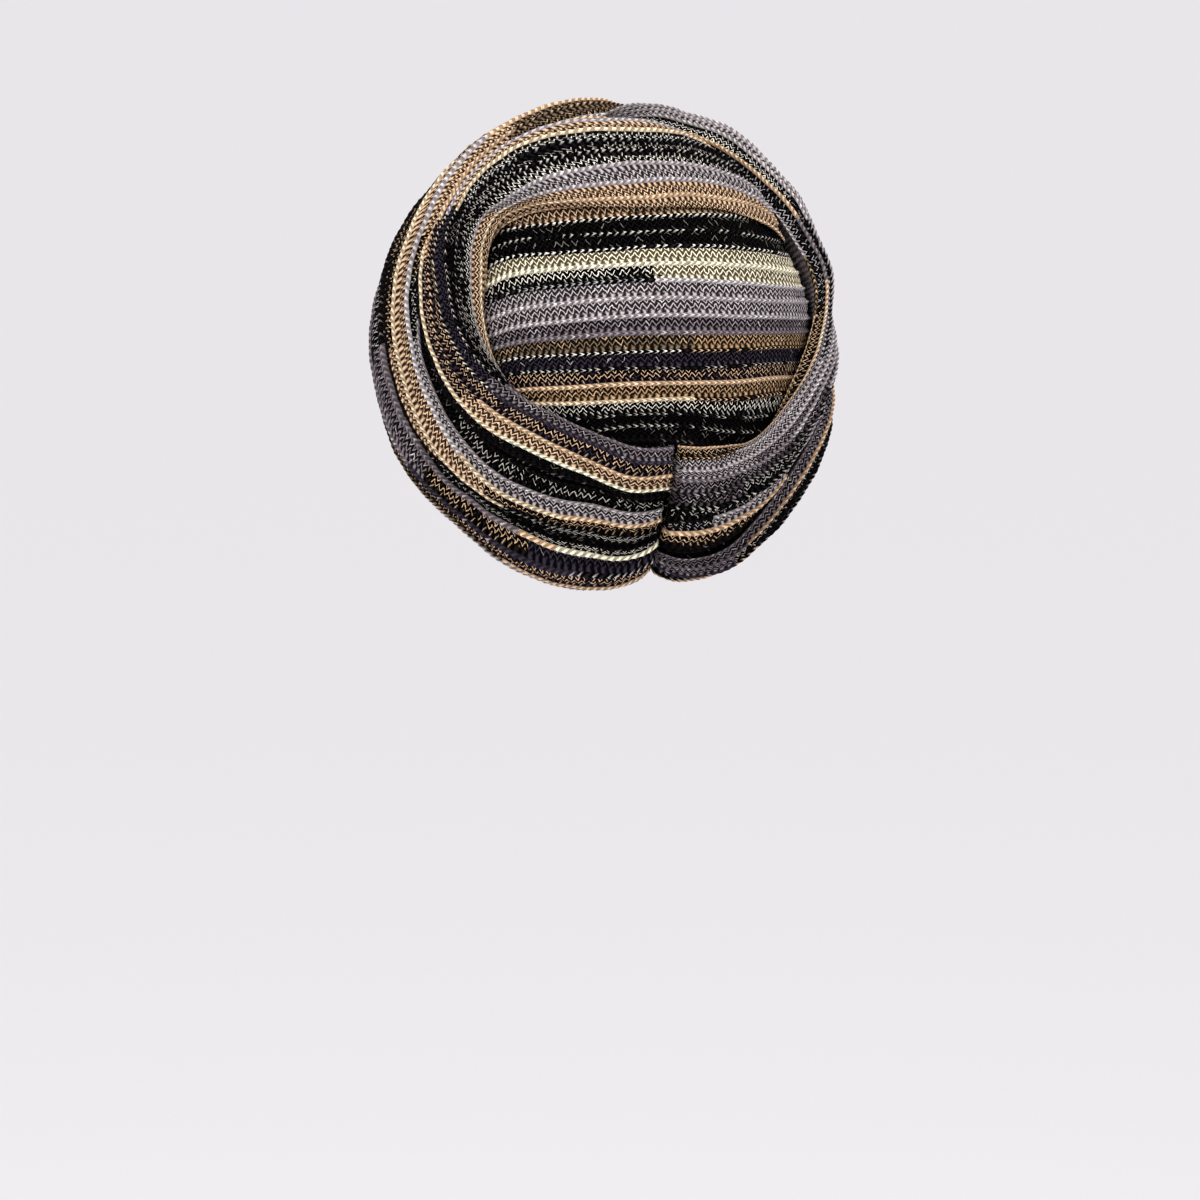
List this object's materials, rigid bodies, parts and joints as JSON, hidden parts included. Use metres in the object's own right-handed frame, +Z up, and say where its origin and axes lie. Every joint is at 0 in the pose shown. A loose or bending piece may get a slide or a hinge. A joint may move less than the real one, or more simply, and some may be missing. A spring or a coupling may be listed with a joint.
{
  "type": "turban headwrap",
  "caption": "Striped knitted turban: a fitted crown with rolled folds of cloth wound round it, crossing over the brow and meeting in a seam at the nape.",
  "frame": {"origin": "the top of the head, where the inside of the crown rests on it", "axes": "+Z up, the wearer's face towards -Y, the nape towards +Y and the wearer's left ear towards +X"},
  "size_m": [0.2066, 0.2181, 0.2189],
  "materials": {
    "crown_knit": "chunky variegated knit, black, lavender grey, tan and cream rows",
    "left_back_knit": "chunky variegated knit, black, dark purple and tan rows",
    "left_front_knit": "chunky variegated knit, tan, black and grey rows",
    "right_back_knit": "chunky variegated knit, lavender grey, mauve and black rows",
    "right_front_knit": "chunky variegated knit, purple grey, black and thin tan rows"
  },
  "bodies": {
    "root": {"crown": "crown_knit", "left_back_fold": "left_back_knit", "left_front_fold": "left_front_knit", "right_back_fold": "right_back_knit", "right_front_fold": "right_front_knit"}
  },
  "joints": []
}
